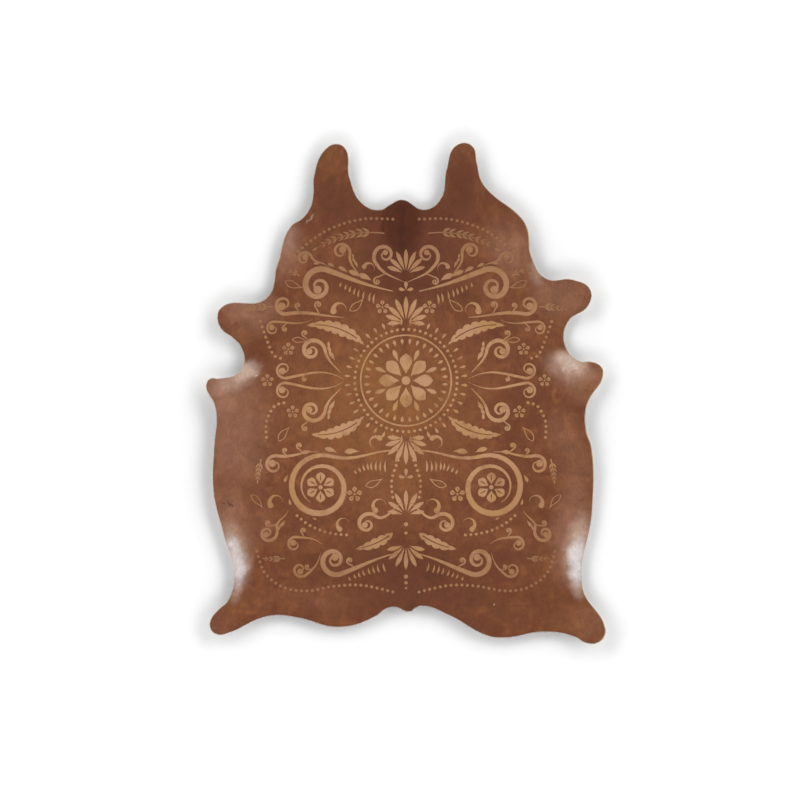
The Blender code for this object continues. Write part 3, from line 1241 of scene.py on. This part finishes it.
def flesh_material(colours):
    """The napped suede of the underside."""
    material, shader, place = new_material(
        "flesh_side", Sheen_Weight=0.25, Sheen_Roughness=0.6, Specular_IOR_Level=0.2
    )
    nap = noise_at(place, 500.0, 3.0, 0.6)
    patches = noise_at(place, 4.0, 4.0, 0.6)
    tone = mixed(patches.smooth(0.38, 0.7) * 0.5, colours.flesh, colours.stubble)
    feed(shader, "Base Color", scaled(tone, 0.82 + 0.36 * nap))
    feed(shader, "Roughness", 0.8 + 0.15 * nap)
    feed(shader, "Normal", bump(nap, 0.6, 0.0005))
    return material


def floor_material(settings):
    """Paint that is all but even."""
    material, shader, place = new_material("floor_paint", Roughness=0.9, Specular_IOR_Level=0.1)
    grain = noise_at(place, 60.0, 3.0)
    hollows = tuple(0.98 * part for part in settings.floor)
    feed(shader, "Base Color", mixed(grain, hollows, settings.floor))
    return material


def short_hair(scene, name="short_hair", painted_edge_shade=0.0):
    """The hair material of that name, made once and shared by all that has it."""
    return bpy.data.materials.get(name) or hair_material(name, scene.cowhide_colours, painted_edge_shade)


# ---------------------------------------------------------------------------
# Operators
# ---------------------------------------------------------------------------


class COWHIDE_OT_lay_skin(bpy.types.Operator):
    """Lay the tanned skin on the floor, with its pale cut edge and its suede underside"""

    bl_idname = "cowhide.lay_skin"
    bl_label = "Lay Skin"

    def execute(self, context):
        sizes = context.scene.cowhide_sizes
        colours = context.scene.cowhide_colours
        edge, hair_edge, _, _ = hide_edge()
        places, triangles, around = triangulated([edge, hair_edge], inner_points(edge, sizes.pitch))
        inside = np.array([0 in loops for loops in around])
        haired = np.array([1 in loops for loops in around])[inside]
        materials = (etched_material(colours), cut_material(colours), flesh_material(colours))
        skin = new_sheet("hide_skin", places, triangles[inside], materials)
        skin.data.polygons.foreach_set("material_index", np.where(haired, 0, 1))
        thicken(skin, sizes.skin, underside=2)
        lay_out_texture(skin.data)
        corners = corners_of(skin.data)
        top = corners[:, 2] > -sizes.skin / 2
        corners[:, 2] += sizes.skin + lift_at(corners[:, :2])
        corners[top, 2] += relief_at(corners[top, :2], sizes.relief)
        move_corners(skin.data, corners)
        bpy.ops.object.shade_smooth_by_angle(angle=CREASE)
        add_to_rug(skin)
        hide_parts("hide")
        return {"FINISHED"}


class COWHIDE_OT_cut_coat(bpy.types.Operator):
    """Lay the hair coat on the skin, with the ornament etched out of it"""

    bl_idname = "cowhide.cut_coat"
    bl_label = "Cut Coat"

    def execute(self, context):
        sizes = context.scene.cowhide_sizes
        edge, hair_edge, _, _ = hide_edge()
        etched, kept, inside = ornament(context.scene.cowhide_ornament)
        loops = [hair_edge, *etched, *kept, *inside]
        places, triangles, around = triangulated(loops, inner_points(edge, sizes.pitch))
        first_kept = 1 + len(etched)
        first_inside = first_kept + len(kept)
        hair = np.array([is_hair(loops, first_kept, first_inside) for loops in around])
        coat = new_sheet("hair_coat", places, triangles[hair], (short_hair(context.scene),))
        thicken(coat, sizes.coat + sizes.roots)
        lay_out_texture(coat.data)
        corners = corners_of(coat.data)
        plan = corners[:, :2]
        corners[:, 2] += sizes.skin + sizes.coat + lift_at(plan) + relief_at(plan, sizes.relief)
        move_corners(coat.data, corners)
        bpy.ops.object.shade_smooth_by_angle(angle=CREASE)
        add_to_rug(coat)
        return {"FINISHED"}


class COWHIDE_OT_edge_hairs(bpy.types.Operator):
    """Let fine hairs lean out over the cut edge"""

    bl_idname = "cowhide.edge_hairs"
    bl_label = "Edge Hairs"

    def execute(self, context):
        sizes = context.scene.cowhide_sizes
        hair = context.scene.cowhide_hair
        chance = np.random.default_rng(7)
        _, hair_edge, outward, bare = hide_edge()
        wanted = hair.edge_hairs
        steps = np.linalg.norm(np.roll(hair_edge, -1, axis=0) - hair_edge, axis=1)
        number = chance.choice(len(hair_edge), wanted, p=steps / steps.sum())
        grown = chance.random(wanted) < 1 - bare[number] / WIDEST_HAIRY
        number = number[grown]
        part = chance.random(len(number))[:, None]
        following = (number + 1) % len(hair_edge)
        places = hair_edge[number] * (1 - part) + hair_edge[following] * part
        out = outward[number] * (1 - part) + outward[following] * part
        places -= out * chance.uniform(*EDGE_ROOTS, (len(number), 1))
        plan_way = out + EDGE_COMBED * hair_way(places) + chance.normal(0, EDGE_STRAY, places.shape)
        height = sizes.skin + sizes.coat * chance.uniform(*EDGE_HEIGHTS, len(number))
        heights = height + lift_at(places) + relief_at(places, sizes.relief)
        ways = np.column_stack([plan_way, chance.normal(*EDGE_TILT, len(number))])
        lengths = hair.edge_length * chance.uniform(*EDGE_LENGTHS, len(number))
        # The cut edge's hairs get a copy of the hair material with painted shade round the neck.
        material = short_hair(context.scene, "edge_hair", PAINTED_EDGE_SHADE_DEPTH)
        roots = np.column_stack([places, heights])
        add_to_rug(hairs("edge_hairs", roots, ways, lengths, hair.width, material))
        return {"FINISHED"}


class COWHIDE_OT_rim_hairs(bpy.types.Operator):
    """Let short hairs lean over the rims of the etched ornament"""

    bl_idname = "cowhide.rim_hairs"
    bl_label = "Rim Hairs"

    def execute(self, context):
        sizes = context.scene.cowhide_sizes
        hair = context.scene.cowhide_hair
        chance = np.random.default_rng(11)
        starts, ends = ornament_rims(context.scene.cowhide_ornament)
        steps = np.linalg.norm(ends - starts, axis=1)
        wanted = hair.rim_hairs
        number = chance.choice(len(steps), wanted, p=steps / steps.sum())
        part = chance.random(wanted)[:, None]
        places = starts[number] * (1 - part) + ends[number] * part
        plan_way = hair_way(places) + chance.normal(0, RIM_STRAY, places.shape)
        places -= hair_way(places) * hair.rim_length * chance.uniform(*RIM_ROOTS, (wanted, 1))
        height = sizes.skin + sizes.coat * RIM_HEIGHT
        heights = height + lift_at(places) + relief_at(places, sizes.relief)
        ways = np.column_stack([plan_way, chance.normal(*RIM_TILT, wanted)])
        lengths = hair.rim_length * chance.uniform(*RIM_LENGTHS, wanted)
        roots = np.column_stack([places, heights])
        material = short_hair(context.scene)
        add_to_rug(hairs("ornament_hairs", roots, ways, lengths, hair.width, material))
        return {"FINISHED"}


# Lamps far away, as soft discs of light: name, azimuth, height in degrees, spread in degrees,
# share of the light on a level surface, and what they light.
LAMPS = (
    ("low_000", 0, 8, 15, 0.104, "floor"),
    ("low_030", 30, 8, 15, 0.153, "floor"),
    ("low_060", 60, 8, 15, 0.118, "floor"),
    ("low_120", 120, 8, 15, 0.106, "floor"),
    ("low_150", 150, 8, 15, 0.122, "floor"),
    ("low_180", 180, 8, 15, 0.089, "floor"),
    ("low_210", 210, 8, 15, 0.049, "floor"),
    ("low_240", 240, 8, 15, 0.077, "floor"),
    ("low_270", 270, 8, 15, 0.089, "floor"),
    ("low_300", 300, 8, 15, 0.059, "floor"),
    ("low_330", 330, 8, 15, 0.077, "floor"),
    ("high_over", 100, 72, 60, 0.61, "rug"),
    ("high_neck", 75, 38, 30, 0.28, "rug"),
)
LAMP_REACH = 5.0  # metres from the hide to a lamp's holder, which makes no difference to its light
FLOOR_WIDTH = 60.0  # metres
# The pale band round the horizon, as the sines of its height: gone at the first, whole at the second.
HORIZON_FADE = (0.3, 0.18)


class COWHIDE_OT_studio(bpy.types.Operator):
    """Make the floor, the lamps, the sky and the camera straight above the hide"""

    bl_idname = "cowhide.studio"
    bl_label = "Studio"

    def execute(self, context):
        scene = context.scene
        settings = scene.cowhide_studio
        groups = {name: bpy.data.collections.new(name) for name in ("floor", "rug")}
        for group in groups.values():
            scene.collection.children.link(group)
        for name in ("hide_skin", *HAIR_PIECES):
            groups["rug"].objects.link(bpy.data.objects[name])
        self.add_floor(settings, groups["floor"])
        brightness = {"floor": settings.floor_light, "rug": settings.hide_light}
        for name, azimuth, height, spread, part, lit in LAMPS:
            lamp = self.add_lamp(scene, name, azimuth, height, spread, part * brightness[lit])
            lamp.light_linking.receiver_collection = groups[lit]
        self.add_sky(scene, settings)
        self.add_camera(scene, settings)
        scene.view_settings.view_transform = "Standard"
        return {"FINISHED"}

    def add_floor(self, settings, group):
        deselect_all()
        bpy.ops.mesh.primitive_plane_add(size=FLOOR_WIDTH)
        floor = bpy.context.active_object
        floor.name = floor.data.name = "floor"
        floor.data.materials.append(floor_material(settings))
        group.objects.link(floor)

    def add_lamp(self, scene, name, azimuth, height, spread, brightness):
        turn, rise = math.radians(azimuth), math.radians(height)
        level = math.cos(rise)
        towards = Vector((level * math.cos(turn), level * math.sin(turn), math.sin(rise)))
        lamp = bpy.data.lights.new(name, "SUN")
        lamp.angle = math.radians(spread)
        lamp.energy = brightness * math.pi / math.sin(rise)
        holder = bpy.data.objects.new(name, lamp)
        holder.rotation_euler = towards.to_track_quat("Z", "Y").to_euler()
        holder.location = towards * LAMP_REACH
        scene.collection.objects.link(holder)
        return holder

    def add_sky(self, scene, settings):
        world = bpy.data.worlds.new("studio")
        world.use_nodes = True
        background = world.node_tree.nodes["Background"]
        background.inputs["Color"].default_value = (1.0, 1.0, 1.0, 1.0)
        way = add_node(world.node_tree, "ShaderNodeTexCoord")
        height = add_node(world.node_tree, "ShaderNodeSeparateXYZ", None, {0: way}, 2)
        feed(background, "Strength", settings.sky + settings.horizon * height.smooth(*HORIZON_FADE))
        scene.world = world

    def add_camera(self, scene, settings):
        camera = bpy.data.cameras.new("camera")
        camera.lens = settings.lens
        camera.sensor_width = 36.0
        camera.clip_end = 200.0
        holder = bpy.data.objects.new("camera", camera)
        scene.collection.objects.link(holder)
        height = settings.view * settings.lens / camera.sensor_width
        holder.location = (*settings.aim, height)
        scene.camera = holder


class COWHIDE_PT_panel(bpy.types.Panel):
    """The hide's sizes and colours, and its operators in the order in which they are run"""

    bl_label = "Cowhide"
    bl_idname = "COWHIDE_PT_panel"
    bl_space_type = "VIEW_3D"
    bl_region_type = "UI"
    bl_category = "Cowhide"

    def draw(self, context):
        for group, operators in PANEL_ROWS:
            box = self.layout.box()
            settings = getattr(context.scene, group)
            for name in settings.bl_rna.properties.keys():
                if name not in {"rna_type", "name"}:
                    box.prop(settings, name)
            for operator in operators:
                box.operator(operator)


PANEL_ROWS = (
    ("cowhide_sizes", ("cowhide.lay_skin",)),
    ("cowhide_ornament", ("cowhide.cut_coat",)),
    ("cowhide_hair", ("cowhide.edge_hairs", "cowhide.rim_hairs")),
    ("cowhide_colours", ()),
    ("cowhide_studio", ("cowhide.studio",)),
)
GROUPS = {
    "cowhide_sizes": HideSizes,
    "cowhide_hair": HairSizes,
    "cowhide_ornament": OrnamentSizes,
    "cowhide_colours": HideColours,
    "cowhide_studio": StudioSettings,
}
CLASSES = (
    *GROUPS.values(),
    COWHIDE_OT_lay_skin,
    COWHIDE_OT_cut_coat,
    COWHIDE_OT_edge_hairs,
    COWHIDE_OT_rim_hairs,
    COWHIDE_OT_studio,
    COWHIDE_PT_panel,
)


def register():
    for made in CLASSES:
        bpy.utils.register_class(made)
    for name, group in GROUPS.items():
        setattr(bpy.types.Scene, name, bpy.props.PointerProperty(type=group))


def unregister():
    for name in GROUPS:
        delattr(bpy.types.Scene, name)
    for made in reversed(CLASSES):
        bpy.utils.unregister_class(made)


def main():
    register()
    bpy.ops.cowhide.lay_skin()
    bpy.ops.cowhide.cut_coat()
    bpy.ops.cowhide.edge_hairs()
    bpy.ops.cowhide.rim_hairs()
    bpy.ops.cowhide.studio()


if __name__ == "__main__":
    main()
